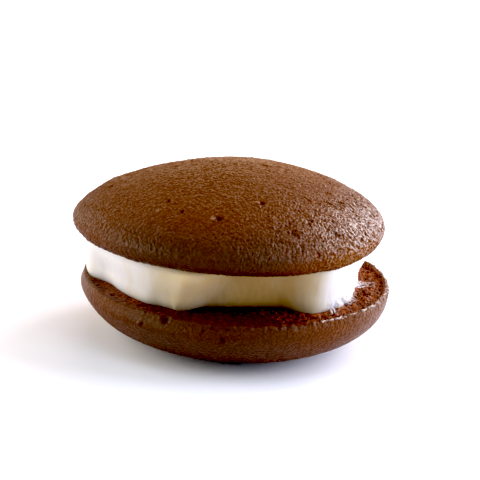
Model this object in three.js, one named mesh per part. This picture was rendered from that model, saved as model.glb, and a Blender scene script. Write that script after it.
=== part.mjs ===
// Whoopie pie: a layer of cream pressed between two soft chocolate cakes.
// Millimetres, +Z up. The origin is on the table under the middle of the pie, and -Y faces the viewer.
import * as THREE from "three";

// Top cake: a dome that steepens to its widest ring, curls under and ends in a flat underside
const TOP_RADIUS = 39.2;
const TOP_THICKNESS = 18.2;
const TOP_CURL_DEPTH = 3.8;
const TOP_CURL_WIDTH = 4.2;
const TOP_EDGE_FULLNESS = 0.36;
const TOP_CROWN_FULLNESS = 0.42;
const TOP_TILT = THREE.MathUtils.degToRad(-1.0);
const TOP_CENTRE = new THREE.Vector2(-1.05, 0.7);
const RIM_WAVE = 0.5;
const RIM_WAVE_FACING = THREE.MathUtils.degToRad(-128);
const RIM_WAVE_WIDTH = 4;

// Bottom cake: a turned-over dome, tucked in on the left, with a torn flat face and a lip of skin round it.
// The lip is thin on the right. On the left the wall rounds over inward and the lip is lower
const BOTTOM_RADIUS = 39.7;
const BOTTOM_HEIGHT = 16.9;
const BOTTOM_WIDEST_DROP = 1.6;
const BOTTOM_WALL_FULLNESS = 0.58;
const BOTTOM_BASE_FULLNESS = 0.7;
const BOTTOM_PRESSED = 0.9;
const BOTTOM_SPREAD_LEFT = 0.4;
const BOTTOM_TUCK = 1.6;
const BOTTOM_TUCK_POWER = 3;
const BOTTOM_TUCK_FACING = THREE.MathUtils.degToRad(-160);
const BOTTOM_CENTRE = new THREE.Vector2(1.05, -0.8);
const LIP_WIDTH = 0.8;
const LIP_SLOPE = 1.0;
const LIP_HEIGHT = 0.7;
const LIP_SINK = 0.5;
const LIP_SOFT_FACING = THREE.MathUtils.degToRad(-150);
const LIP_SOFT_END = 0.7;
const LIP_FADE = 8;
const SHOULDER_ROUND = 1.4;
const SHOULDER_START = 12.3;
const SHOULDER_RISE = 3.0;

// Cream: its height between the cakes, and its outline where it lies on the bottom cake
const CREAM_HEIGHT = 10.5;
const CREAM_BASE_RADIUS = 33.2;
const CREAM_CROWN_RADIUS = 36.4;
const CREAM_CROWN_CENTRE = new THREE.Vector2(-2.7, 1.0);
const CREAM_LEAN_START = 0.3;
const CREAM_LEAN_END = 0.95;
const CREAM_ROUNDING = 1.0;
const CREAM_ROUNDING_POWER = 6;
const CLEARANCE = 0.3;

// Lobes of the cream's foot: the direction each one faces, how wide it is and how far it reaches
const LOBE_STEEPNESS = 4;
const CREAM_LOBES = [
  { facing: 180, halfWidth: 13, reach: 4.6 },
  { facing: -42, halfWidth: 12, reach: -0.5 },
  { facing: -7, halfWidth: 16, reach: -2.2 },
  { facing: 110, halfWidth: 45, reach: 0.8 },
];

// Narrow nicks of the foot at the front left, which fade out up the wall
const FOOT_NICKS = [
  { facing: -119, halfWidth: 7, reach: -1.1 },
  { facing: -113.5, halfWidth: 3, reach: 0.5 },
];
const NICK_END = 0.8;

// The crown overhangs the foot all round, except at the front left, where a dent leaves the wall nearly
// upright
const CROWN_LOBES = [{ facing: -138, halfWidth: 24, reach: -3.4 }];

// Flat front, where little cream was squeezed out: the way it faces, how far it is from the axis, where its
// left and right edges are in degrees from that facing, and how many degrees wide each edge is. Towards the
// crown the edges turn to the right and soften
const FRONT_FACING = -82;
const FRONT_FOOT = { distance: 24.5, left: -29.5, leftWidth: 5, right: 25.5, rightWidth: 7 };
const FRONT_CROWN = { distance: 28, left: -16, leftWidth: 25, right: 32, rightWidth: 34 };
const FRONT_SOFTNESS = 1.2;
const FRONT_LIMIT = 0.05;

// Crumb on the torn face: how far the crags stand up and sink, and how far they keep from the cream
const CRAG_HEIGHT = 0.35;
const CRAG_MARGIN = 1.4;
const CRAG_SEED = 20.7;
const SCATTER_GRID = 0.1;
const SCATTER_MIX = new THREE.Vector2(12.9898, 78.233);
const SCATTER_SPREAD = 43758.5453;
const LEVEL_TOLERANCE = 0.01;

// Uneven baking: slow waves round the edges and over the domes
const EDGE_WAVES = [
  { count: 2, size: 0.16, start: 0.6 },
  { count: 3, size: 0.14, start: 2.1 },
  { count: 5, size: 0.1, start: 4.0 },
  { count: 9, size: 0.06, start: 1.2 },
];
const BOTTOM_TURN = 2.4;
const DOME_SWELL = 3.4;
const DOME_SWELL_FACING = THREE.MathUtils.degToRad(-30);

// Steps round the axis
const TOP_STEPS = 64;
const CREAM_STEPS = 108;
const BOTTOM_STEPS = 96;

const FACE_LEVEL = BOTTOM_HEIGHT - BOTTOM_PRESSED - LIP_HEIGHT;
const CREAM_FOOT = FACE_LEVEL + CLEARANCE;
const UNDERSIDE_LEVEL = CREAM_FOOT + CREAM_HEIGHT + CLEARANCE;

const point = (r, z) => new THREE.Vector2(r, z);

// Points along a chain of curves, from the axis round the outside and back to the axis
function profilePoints(stretches) {
  const points = [];
  for (const { curve, steps } of stretches) {
    const stretch = curve.getPoints(steps);
    points.push(...(points.length ? stretch.slice(1) : stretch));
  }
  return points;
}

// A solid of revolution about Z, with each vertex then moved by shape(position, angle)
function bakedSolid(stretches, steps, shape) {
  const geometry = new THREE.LatheGeometry(profilePoints(stretches), steps);
  geometry.rotateX(Math.PI / 2);
  const positions = geometry.attributes.position;
  const vertex = new THREE.Vector3();
  for (let i = 0; i < positions.count; i += 1) {
    vertex.fromBufferAttribute(positions, i);
    shape(vertex, Math.atan2(vertex.y, vertex.x));
    positions.setXYZ(i, vertex.x, vertex.y, vertex.z);
  }
  geometry.computeVertexNormals();
  return geometry;
}

function edgeWave(angle, turn) {
  let wave = 0;
  for (const { count, size, start } of EDGE_WAVES) {
    wave += size * Math.cos(count * angle + start + turn);
  }
  return wave;
}

function scaleRadius(vertex, radius, wanted) {
  vertex.x *= wanted / radius;
  vertex.y *= wanted / radius;
}

// How much further than the plain round a set of lobes reaches in one direction
function lobeReach(lobes, angle) {
  let reach = 0;
  for (const lobe of lobes) {
    const facing = THREE.MathUtils.degToRad(lobe.facing);
    const away = Math.acos(Math.cos(angle - facing)) / THREE.MathUtils.degToRad(lobe.halfWidth);
    reach += lobe.reach * Math.exp(-(away ** LOBE_STEEPNESS) / 2);
  }
  return reach;
}

// How far the flat front cuts into the round of the cream, for a level from 0 at the foot to 1 at the crown
function frontCut(round, angle, level) {
  const at = (name) => THREE.MathUtils.lerp(FRONT_FOOT[name], FRONT_CROWN[name], level);
  const ahead = THREE.MathUtils.radToDeg(angle) - FRONT_FACING;
  const turned = THREE.MathUtils.euclideanModulo(ahead + 180, 360) - 180;
  const flat = at("distance") / Math.max(Math.cos(THREE.MathUtils.degToRad(turned)), FRONT_LIMIT);
  const cut = FRONT_SOFTNESS * Math.log1p(Math.exp((round - flat) / FRONT_SOFTNESS));
  const past = (edge, width) => THREE.MathUtils.smoothstep(turned - edge, -width / 2, width / 2);
  return cut * past(at("left"), at("leftWidth")) * (1 - past(at("right"), at("rightWidth")));
}

// How far the cream's wall reaches from the bottom cake's axis in one direction at one level
function creamReach(angle, level) {
  const nicks = lobeReach(FOOT_NICKS, angle) * (1 - THREE.MathUtils.smoothstep(level, 0, NICK_END));
  const foot = CREAM_BASE_RADIUS + lobeReach(CREAM_LOBES, angle) + nicks;
  const along = CREAM_CROWN_CENTRE.x * Math.cos(angle) + CREAM_CROWN_CENTRE.y * Math.sin(angle);
  const crown = CREAM_CROWN_RADIUS + along + lobeReach(CROWN_LOBES, angle);
  const lean = THREE.MathUtils.smoothstep(level, CREAM_LEAN_START, CREAM_LEAN_END);
  const round = THREE.MathUtils.lerp(foot, crown, lean);
  return round - frontCut(round, angle, level);
}

// Repeatable scatter between -1 and 1 for a place on the torn face
function scatter(x, y) {
  const column = Math.round(x / SCATTER_GRID) * SCATTER_MIX.x;
  const row = Math.round(y / SCATTER_GRID) * SCATTER_MIX.y;
  const value = Math.sin(column + row + CRAG_SEED) * SCATTER_SPREAD;
  return 2 * (value - Math.floor(value)) - 1;
}

function topCake() {
  const flat = TOP_RADIUS - TOP_CURL_WIDTH;
  const rise = TOP_THICKNESS - TOP_CURL_DEPTH;
  const quarterTurn = Math.PI / 2;
  const underside = new THREE.LineCurve(point(0, 0), point(flat, 0));
  const curl = new THREE.EllipseCurve(flat, TOP_CURL_DEPTH, TOP_CURL_WIDTH, TOP_CURL_DEPTH, -quarterTurn, 0);
  const dome = new THREE.CubicBezierCurve(
    point(TOP_RADIUS, TOP_CURL_DEPTH),
    point(TOP_RADIUS, TOP_CURL_DEPTH + rise * TOP_EDGE_FULLNESS),
    point(TOP_RADIUS * TOP_CROWN_FULLNESS, TOP_THICKNESS),
    point(0, TOP_THICKNESS),
  );
  const stretches = [
    { curve: underside, steps: 4 },
    { curve: curl, steps: 6 },
    { curve: dome, steps: 18 },
  ];
  return bakedSolid(stretches, TOP_STEPS, (vertex, angle) => {
    const radius = Math.hypot(vertex.x, vertex.y);
    const outward = radius / TOP_RADIUS;
    if (radius > 0) scaleRadius(vertex, radius, radius + edgeWave(angle, 0) * outward ** 2);
    const swell = Math.cos(angle - DOME_SWELL_FACING) * outward ** 2 * (1 - outward ** 2) ** 2;
    const atRim = THREE.MathUtils.smoothstep(radius, flat - RIM_WAVE_WIDTH / 2, flat + RIM_WAVE_WIDTH / 2);
    const rimWave = RIM_WAVE * Math.cos(2 * (angle - RIM_WAVE_FACING)) * atRim;
    vertex.z += vertex.z > TOP_CURL_DEPTH ? DOME_SWELL * swell + rimWave : rimWave;
  });
}

function creamFilling() {
  const foot = new THREE.LineCurve(point(0, 0), point(1, 0));
  const wall = new THREE.LineCurve(point(1, 0), point(1, 1));
  const crown = new THREE.LineCurve(point(1, 1), point(0, 1));
  const stretches = [
    { curve: foot, steps: 4 },
    { curve: wall, steps: 10 },
    { curve: crown, steps: 4 },
  ];
  const tiltRise = Math.tan(TOP_TILT);
  return bakedSolid(stretches, CREAM_STEPS, (vertex, angle) => {
    const level = vertex.z;
    const share = Math.hypot(vertex.x, vertex.y);
    const edge = Math.abs(2 * level - 1);
    const reach = creamReach(angle, level) - CREAM_ROUNDING * edge ** CREAM_ROUNDING_POWER;
    if (share > 0) scaleRadius(vertex, share, share * reach);
    const ceiling = CREAM_HEIGHT - tiltRise * (vertex.x + BOTTOM_CENTRE.x - TOP_CENTRE.x);
    vertex.z = level * ceiling;
  });
}

function bottomCake() {
  const widest = BOTTOM_HEIGHT - BOTTOM_WIDEST_DROP;
  const crest = BOTTOM_RADIUS - LIP_WIDTH;
  const lipReach = LIP_WIDTH + LIP_SLOPE;
  const under = new THREE.CubicBezierCurve(
    point(0, 0),
    point(BOTTOM_RADIUS * BOTTOM_BASE_FULLNESS, 0),
    point(BOTTOM_RADIUS, widest * (1 - BOTTOM_WALL_FULLNESS)),
    point(BOTTOM_RADIUS, widest),
  );
  const shoulder = new THREE.EllipseCurve(crest, widest, LIP_WIDTH, BOTTOM_WIDEST_DROP, 0, Math.PI / 2);
  const tear = point(crest - LIP_SLOPE, BOTTOM_HEIGHT - LIP_HEIGHT);
  const lip = new THREE.LineCurve(point(crest, BOTTOM_HEIGHT), tear);
  const face = new THREE.LineCurve(tear, point(0, tear.y));
  const stretches = [
    { curve: under, steps: 14 },
    { curve: shoulder, steps: 3 },
    { curve: lip, steps: 1 },
    { curve: face, steps: 18 },
  ];
  return bakedSolid(stretches, BOTTOM_STEPS, (vertex, angle) => {
    const radius = Math.hypot(vertex.x, vertex.y);
    const outward = radius / BOTTOM_RADIUS;
    const onFace = Math.abs(vertex.z - tear.y) < LEVEL_TOLERANCE && radius < tear.x - LIP_SLOPE / 2;
    if (onFace) {
      const clear = THREE.MathUtils.smoothstep(radius - creamReach(angle, 0), CRAG_MARGIN, 2 * CRAG_MARGIN);
      vertex.z += CRAG_HEIGHT * clear * scatter(vertex.x, vertex.y);
    }
    const soft = THREE.MathUtils.smoothstep(Math.cos(angle - LIP_SOFT_FACING), 0, LIP_SOFT_END);
    const inward = BOTTOM_RADIUS - radius;
    const fade = THREE.MathUtils.clamp(1 - (inward - lipReach) / LIP_FADE, 0, 1);
    const raised = THREE.MathUtils.clamp((vertex.z - SHOULDER_START) / SHOULDER_RISE, 0, 1);
    const rounded = SHOULDER_ROUND * soft * raised ** 2 * fade;
    const sunk = onFace ? 0 : LIP_SINK * soft * Math.max(vertex.z - tear.y, 0);
    const waist = Math.sin(Math.PI * Math.min(vertex.z / widest, 1));
    const tuckSide = Math.max(Math.cos(angle - BOTTOM_TUCK_FACING), 0) ** BOTTOM_TUCK_POWER;
    const spread = edgeWave(angle, BOTTOM_TURN) - BOTTOM_SPREAD_LEFT * Math.cos(angle);
    const bulge = spread - BOTTOM_TUCK * tuckSide * waist;
    if (radius > 0) scaleRadius(vertex, radius, radius + bulge * outward ** 2 - rounded);
    vertex.z = Math.max(vertex.z - sunk - BOTTOM_PRESSED, 0);
  });
}

const cakeSkin = new THREE.MeshStandardMaterial({ color: 0x6b3a1c, roughness: 0.55, metalness: 0 });
const cakeCrumb = new THREE.MeshStandardMaterial({ color: 0x5f3018, roughness: 0.7, metalness: 0 });
const whippedCream = new THREE.MeshStandardMaterial({ color: 0xf0e6cf, roughness: 0.5, metalness: 0 });

const bottom = new THREE.Mesh(bottomCake(), cakeCrumb);
bottom.name = "bottom_cake";
bottom.position.set(BOTTOM_CENTRE.x, BOTTOM_CENTRE.y, 0);

const cream = new THREE.Mesh(creamFilling(), whippedCream);
cream.name = "cream_filling";
cream.position.set(BOTTOM_CENTRE.x, BOTTOM_CENTRE.y, CREAM_FOOT);

const top = new THREE.Mesh(topCake(), cakeSkin);
top.name = "top_cake";
top.position.set(TOP_CENTRE.x, TOP_CENTRE.y, UNDERSIDE_LEVEL);
top.rotation.y = TOP_TILT;

const whoopiePie = new THREE.Group();
whoopiePie.add(bottom, cream, top);

export default whoopiePie;
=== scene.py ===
# %% [markdown]
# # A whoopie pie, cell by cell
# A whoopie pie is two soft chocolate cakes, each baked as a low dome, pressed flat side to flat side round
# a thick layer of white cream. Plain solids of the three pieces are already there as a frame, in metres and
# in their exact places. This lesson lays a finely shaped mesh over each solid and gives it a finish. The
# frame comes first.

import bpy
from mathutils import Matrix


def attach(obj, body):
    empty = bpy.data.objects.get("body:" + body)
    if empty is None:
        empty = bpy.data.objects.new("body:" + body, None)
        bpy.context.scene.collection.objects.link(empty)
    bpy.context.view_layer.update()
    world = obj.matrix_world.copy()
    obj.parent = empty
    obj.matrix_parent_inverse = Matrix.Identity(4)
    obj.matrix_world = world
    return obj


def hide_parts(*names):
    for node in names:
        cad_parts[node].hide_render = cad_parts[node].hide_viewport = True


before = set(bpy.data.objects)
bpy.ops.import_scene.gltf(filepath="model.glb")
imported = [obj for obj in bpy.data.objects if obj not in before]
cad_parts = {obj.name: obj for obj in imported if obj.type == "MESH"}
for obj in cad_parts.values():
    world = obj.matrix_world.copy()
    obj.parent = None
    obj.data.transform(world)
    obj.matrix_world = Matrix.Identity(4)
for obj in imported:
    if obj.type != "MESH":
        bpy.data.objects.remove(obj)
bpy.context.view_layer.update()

# %% [markdown]
# ## Tools for the whole lesson
# Blender keeps lengths in metres, and a baker thinks in millimetres, so every size below is a number of
# millimetres times MM. Meshes with tens of thousands of points are quickest as arrays: numpy works out all
# points at once, and Blender's own noise module supplies the unevenness. That noise is fixed, so the pie
# comes out the same on every run.

# %% Units and libraries
import math

import bmesh
import bpy
import numpy as np
from mathutils import Matrix, Vector, noise

MM = 0.001

# %% [markdown]
# ## An even grid over a dome
# The obvious mesh for a dome is rings and spokes, but spokes crowd together at the middle and stand far
# apart at the rim. A square grid squeezed into a disc has cells of nearly one size everywhere, so fine
# wrinkles look alike on the crown and on the edge. Each point keeps two numbers: its share of the way out
# from the middle, and its angle.

# %% A square grid squeezed into a disc
def disc_grid(cells):
    """Share of the way out (0 to 1) and angle of each point of a square grid squeezed into a disc."""
    line = np.linspace(-1.0, 1.0, cells + 1)
    across, up = np.meshgrid(line, line)
    share = np.maximum(np.abs(across), np.abs(up))
    sideways = np.abs(across) >= np.abs(up)
    longer = np.where(sideways, across, up)
    ratio = np.where(sideways, up, across) / np.where(longer == 0, 1.0, longer)
    angle = np.where(sideways, ratio * np.pi / 4, np.pi / 2 - ratio * np.pi / 4)
    return share.ravel(), (angle + np.where(longer < 0, np.pi, 0.0)).ravel()


def grid_faces(cells):
    """The squares of the grid, and its rim as one loop of points, both turning left seen from above."""
    corner = np.arange((cells + 1) ** 2).reshape(cells + 1, cells + 1)
    squares = np.stack([corner[:-1, :-1], corner[:-1, 1:], corner[1:, 1:], corner[1:, :-1]], axis=-1)
    rim = np.concatenate([corner[0, :-1], corner[:-1, -1], corner[-1, :0:-1], corner[:0:-1, 0]])
    return squares.reshape(-1, 4), rim


print("a grid of 8 cells has", len(disc_grid(8)[0]), "points and a rim of", len(grid_faces(8)[1]))

# %% [markdown]
# ## Closing the mesh
# A cake has a second side: the flat underside of one cake, the torn face of the other. Rings of points lead
# inward from the grid's rim to a last point in the middle, so each piece is one closed skin with no hole.
# A mesh built from lists of points and faces is the plainest kind, and Blender works out its normals.

# %% Rings, middle point and mesh
def ring_faces(rim, first, rings):
    """Squares from the rim inward over rings of points numbered from first, and a fan to one last point."""
    count = len(rim)
    loops = [rim] + [first + ring * count + np.arange(count) for ring in range(rings)]
    bands = [np.stack([a, b, np.roll(b, -1), np.roll(a, -1)], axis=-1) for a, b in zip(loops, loops[1:])]
    middle = np.full(count, first + rings * count)
    return np.concatenate(bands), np.stack([loops[-1], middle, np.roll(loops[-1], -1)], axis=-1)


def in_scene(name, data):
    """A new object in the scene for a mesh, a lamp or a camera."""
    thing = bpy.data.objects.new(name, data)
    bpy.context.scene.collection.objects.link(thing)
    return thing


def mesh_piece(name, points, *face_groups):
    """A smooth-shaded mesh object in the scene."""
    mesh = bpy.data.meshes.new(name)
    mesh.from_pydata(points.tolist(), [], [face for group in face_groups for face in group.tolist()])
    mesh.shade_smooth()
    return in_scene(name, mesh)


def points_of(piece):
    """The points of a mesh object as an array."""
    flat = np.empty(len(piece.data.vertices) * 3)
    piece.data.vertices.foreach_get("co", flat)
    return flat.reshape(-1, 3)


def report(piece):
    """Print the size and the number of triangles of a finished piece."""
    piece.data.calc_loop_triangles()
    points = points_of(piece)
    size = ((points.max(axis=0) - points.min(axis=0)) / MM).round(1).tolist()
    print(piece.name, "measures", size, "mm and has", len(piece.data.loop_triangles), "triangles")


print("helpers for rings, meshes and measuring are ready")

# %% [markdown]
# ## Relief along the normals
# Baked skin is never smooth. Wrinkles, dimples and pits are all the same move: each point slides along its
# own normal, outward for a bump and inward for a dent. Perlin noise gives soft bumps of one size. A Voronoi
# pattern splits space into cells, and the distance to the border between two cells gives creases and
# pebbles. A seed says where in the endless noise a pattern starts, so that no two reliefs repeat each other.

# %% Noise and relief
SEED_STEPS = (1.0, 1.7, 2.3)
PEBBLE_FULLNESS = 2.4


def noise_start(seed):
    """Where in the endless noise the pattern of a seed starts."""
    return Vector([step * seed for step in SEED_STEPS])


def bumps(points, size, seed, octaves=1):
    """Soft bumps between about -1 and 1, each about as wide as size."""
    start = noise_start(seed)
    return np.array([noise.fractal(Vector(p) + start, 1.0, 2.0, octaves) for p in points / size])


def from_crease(points, size, seed):
    """Distance from the nearest crease between cells about as wide as size: 0 in the crease."""
    start = noise_start(seed)
    nearest = np.array([noise.voronoi(Vector(p) + start)[0][:2] for p in points / size])
    return nearest[:, 1] - nearest[:, 0]


def pebbles(points, size, seed):
    """Rounded lumps between -1, in the creases, and 1, in the middle of each lump."""
    return np.clip(PEBBLE_FULLNESS * from_crease(points, size, seed) - 1.0, -1.0, 1.0)


def slide(piece, relief):
    """Move each point of a piece along its normal by its relief."""
    normals = np.empty(len(piece.data.vertices) * 3)
    piece.data.vertex_normals.foreach_get("vector", normals)
    moved = points_of(piece) + normals.reshape(-1, 3) * relief[:, None]
    piece.data.vertices.foreach_set("co", moved.ravel())
    piece.data.update()


def smooth_step(value, low, high):
    """0 below low, 1 above high and a soft rise between them."""
    share = np.clip((value - low) / (high - low), 0.0, 1.0)
    return share * share * (3.0 - 2.0 * share)


print("noise at the origin:", bumps(np.zeros((1, 3)), MM, seed=0.3).round(3).tolist())

# %% [markdown]
# ## Profiles
# Each cake is a turned form, so one curve from the middle to the edge gives it. Bezier curves and quarter
# ellipses draw the profile, and the points are then spread evenly along its length, because even spacing on
# the profile is what keeps the grid's cells alike. No cake spreads as a true round, so slow waves push the
# edge in and out. Each wave has a count on the way round, a size and a start.

# %% Curves for the profiles
CURVE_POINTS = 240
EDGE_WAVES = ((2, 0.16 * MM, 0.6), (3, 0.14 * MM, 2.1), (5, 0.10 * MM, 4.0), (9, 0.06 * MM, 1.2))


def bezier(start, start_handle, end_handle, end):
    """Points along a cubic Bezier curve."""
    t = np.linspace(0.0, 1.0, CURVE_POINTS)[:, None]
    start, start_handle, end_handle, end = (np.array(p) for p in (start, start_handle, end_handle, end))
    near = (1 - t) ** 3 * start + 3 * (1 - t) ** 2 * t * start_handle
    return near + 3 * (1 - t) * t ** 2 * end_handle + t ** 3 * end


def arc(centre, half_width, half_height, start, end):
    """Points along an upright ellipse between two angles in degrees."""
    turn = np.radians(np.linspace(start, end, CURVE_POINTS))
    return np.stack([centre[0] + half_width * np.cos(turn), centre[1] + half_height * np.sin(turn)], axis=-1)


def along(curve, share):
    """Radius and height at each share of a profile's length."""
    walked = np.concatenate([[0.0], np.cumsum(np.hypot(*np.diff(curve, axis=0).T))])
    return tuple(np.interp(share * walked[-1], walked, axis) for axis in curve.T)


def edge_wave(angle, turn):
    """How far the slow waves of an unevenly baked edge stand out in one direction."""
    return sum(size * np.cos(count * angle + start + turn) for count, size, start in EDGE_WAVES)


print("the edges wave by up to", round(sum(size for _, size, _ in EDGE_WAVES) / MM, 2), "mm")

# %% [markdown]
# ## The form of the top cake
# The top cake is a dome that steepens towards its widest ring, curls under and ends in a flat underside,
# where it lay on the baking sheet. A plain turned dome would look machined, so the form is bent a little: it
# leans one degree to the left on the soft cream, swells to the right, and its rim rises and falls twice on
# the way round.

# %% Top cake
TOP_RADIUS = 39.2 * MM
TOP_THICKNESS = 18.2 * MM
TOP_CURL_DEPTH = 3.8 * MM
TOP_CURL_WIDTH = 4.2 * MM
TOP_EDGE_FULLNESS = 0.36
TOP_CROWN_FULLNESS = 0.42
TOP_SWELL = 3.4 * MM
TOP_SWELL_FACING = math.radians(-30)
RIM_WAVE = 0.5 * MM
RIM_WAVE_FACING = math.radians(-128)
RIM_WAVE_WIDTH = 4.0 * MM
TOP_TILT = math.radians(-1.0)
TOP_CENTRE = Vector((-1.05 * MM, 0.7 * MM, 0.0))
UNDERSIDE_LEVEL = 26.4 * MM

top_flat = TOP_RADIUS - TOP_CURL_WIDTH
top_rise = TOP_THICKNESS - TOP_CURL_DEPTH
top_dome = bezier(
    (0.0, TOP_THICKNESS),
    (TOP_RADIUS * TOP_CROWN_FULLNESS, TOP_THICKNESS),
    (TOP_RADIUS, TOP_CURL_DEPTH + top_rise * TOP_EDGE_FULLNESS),
    (TOP_RADIUS, TOP_CURL_DEPTH),
)
top_curl = arc((top_flat, TOP_CURL_DEPTH), TOP_CURL_WIDTH, TOP_CURL_DEPTH, 0, -90)
top_profile = np.concatenate([top_dome, top_curl[1:]])


def top_form(radius, height, angle):
    """Places on the top cake for a radius, height and angle on its plain round form."""
    outward = np.minimum(radius / TOP_RADIUS, 1.0)
    reach = radius + edge_wave(angle, 0.0) * outward ** 2
    swell = TOP_SWELL * np.cos(angle - TOP_SWELL_FACING) * outward ** 2 * (1 - outward ** 2) ** 2
    at_rim = smooth_step(radius, top_flat - RIM_WAVE_WIDTH / 2, top_flat + RIM_WAVE_WIDTH / 2)
    rim_wave = RIM_WAVE * np.cos(2 * (angle - RIM_WAVE_FACING)) * at_rim
    level = height + rim_wave + np.where(height > TOP_CURL_DEPTH, swell, 0.0)
    upright = np.stack([reach * np.cos(angle), reach * np.sin(angle), level], axis=-1)
    lean = np.array(Matrix.Rotation(TOP_TILT, 3, "Y"))
    return upright @ lean.T + np.array(TOP_CENTRE + Vector((0, 0, UNDERSIDE_LEVEL)))


print("the top cake is", round(2 * TOP_RADIUS / MM, 1), "mm wide before its edge waves")

# %% [markdown]
# ## The mesh of the top cake
# The grid runs from the crown over the widest ring to the edge of the flat, so one even skin covers all that
# shows. A few rings close the underside, which the cream hides and which needs no detail.

# %% Top cake mesh
TOP_CELLS = 304
UNDERSIDE_RINGS = 4

top_share, top_angle = disc_grid(TOP_CELLS)
top_squares, top_rim = grid_faces(TOP_CELLS)
ring_shares = 1 - np.arange(1, UNDERSIDE_RINGS + 1) / (UNDERSIDE_RINGS + 1)
ring_radius = np.repeat(top_flat * ring_shares, len(top_rim))
ring_angle = np.tile(top_angle[top_rim], UNDERSIDE_RINGS)
top_points = np.concatenate([
    top_form(*along(top_profile, top_share), top_angle),
    top_form(ring_radius, np.zeros_like(ring_radius), ring_angle),
    top_form(np.zeros(1), np.zeros(1), np.zeros(1)),
])
top_underside = ring_faces(top_rim, len(top_share), UNDERSIDE_RINGS)
top_cake = mesh_piece("top_cake_skin", top_points, top_squares, *top_underside)
report(top_cake)

# %% [markdown]
# ## The grain of baked skin
# Seen close, the skin has slow dents from uneven rising, a leathery grain of pebbles a millimetre wide, and
# fine wrinkles that run down the flanks. To stretch wrinkles down a slope, the noise isn't read at the point
# itself but on a drum: the angle goes round the drum, and the way down the slope goes along it, shortened,
# so that each spot of noise comes out long. The same grain serves both cakes.

# %% Grain of the skin
DENT_DEPTH = 0.14 * MM
DENT_WIDTH = 9 * MM
DIMPLE_DEPTH = 0.07 * MM
DIMPLE_WIDTH = 2.6 * MM
GRAIN_DEPTH = 0.12 * MM
GRAIN_WIDTH = 1.0 * MM
WRINKLE_DEPTH = 0.02 * MM
WRINKLE_WIDTH = 1.1 * MM
WRINKLE_SHARES = (0.3, 0.6)
WRINKLE_SHORTENING = 0.22
PROFILE_LENGTH = 53 * MM
TOP_SEED = 3.1


def drum(share, angle):
    """Places on a drum: round it by the angle, and along it by the way down the slope, shortened."""
    down = share * PROFILE_LENGTH * WRINKLE_SHORTENING
    return np.stack([TOP_RADIUS * np.cos(angle), TOP_RADIUS * np.sin(angle), down], axis=-1)


def skin_grain(points, share, angle, seed, wrinkled):
    """Relief of baked skin: slow dents, dimples, pebbles, and wrinkles down the flanks."""
    dents = DENT_DEPTH * bumps(points, DENT_WIDTH, seed)
    dimples = DIMPLE_DEPTH * bumps(points, DIMPLE_WIDTH, seed + 4.0, octaves=2)
    grain = GRAIN_DEPTH * pebbles(points, GRAIN_WIDTH, seed + 9.0)
    folds = WRINKLE_DEPTH * smooth_step(share, *WRINKLE_SHARES)
    wrinkles = folds * bumps(drum(share, angle), WRINKLE_WIDTH, seed + 14.0)
    return dents + dimples + grain + wrinkled * wrinkles


top_relief = np.zeros(len(top_points))
on_dome = slice(0, len(top_share))
top_relief[on_dome] = skin_grain(top_points[on_dome], top_share, top_angle, TOP_SEED, wrinkled=1.0)
print("skin relief from", round(top_relief.min() / MM, 2), "to", round(top_relief.max() / MM, 2), "mm")

# %% [markdown]
# ## Cracks on the right flank
# On the right the skin dried first and split into a net of short dark cracks that run downhill. They are the
# creases of a Voronoi pattern read on the drum. Soft noise breaks the net up, and soft bounds keep it on the
# right flank. How deep each point lies in a crack is kept, because the finish darkens the cracks as painted
# shade.

# %% Cracks of the top cake
CRACK_DEPTH = 0.22 * MM
CRACK_FACING = math.radians(-22)
CRACK_SPREAD = math.radians(48)
CRACKS_BEGIN = (0.42, 0.62)
CRACKS_END = (0.8, 0.89)
CRACK_SPACING = 1.35 * MM
CRACK_EDGE = (0.02, 0.2)
BREAK_WIDTH = 2.2 * MM
BREAK_EDGE = (-0.05, 0.35)
SHOWING_CRACK = 0.3


def away_from(angle, facing):
    """Angle between two directions, without a sign."""
    return np.arccos(np.clip(np.cos(angle - facing), -1.0, 1.0))


def towards(angle, facing, spread):
    """1 in one direction, falling to 0 beyond a spread of angles on both sides of it."""
    return np.exp(-((away_from(angle, facing) / spread) ** 4))


flank = smooth_step(top_share, *CRACKS_BEGIN) * (1 - smooth_step(top_share, *CRACKS_END))
flank *= towards(top_angle, CRACK_FACING, CRACK_SPREAD)
split = 1 - smooth_step(from_crease(drum(top_share, top_angle), CRACK_SPACING, seed=5.5), *CRACK_EDGE)
broken = smooth_step(bumps(top_points[on_dome], BREAK_WIDTH, seed=8.3, octaves=2), *BREAK_EDGE)
top_cracks = flank * split * broken
top_relief[on_dome] -= CRACK_DEPTH * top_cracks
print("cracks cover", round(100 * float((top_cracks > SHOWING_CRACK).mean()), 1), "% of the top skin")
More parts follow.
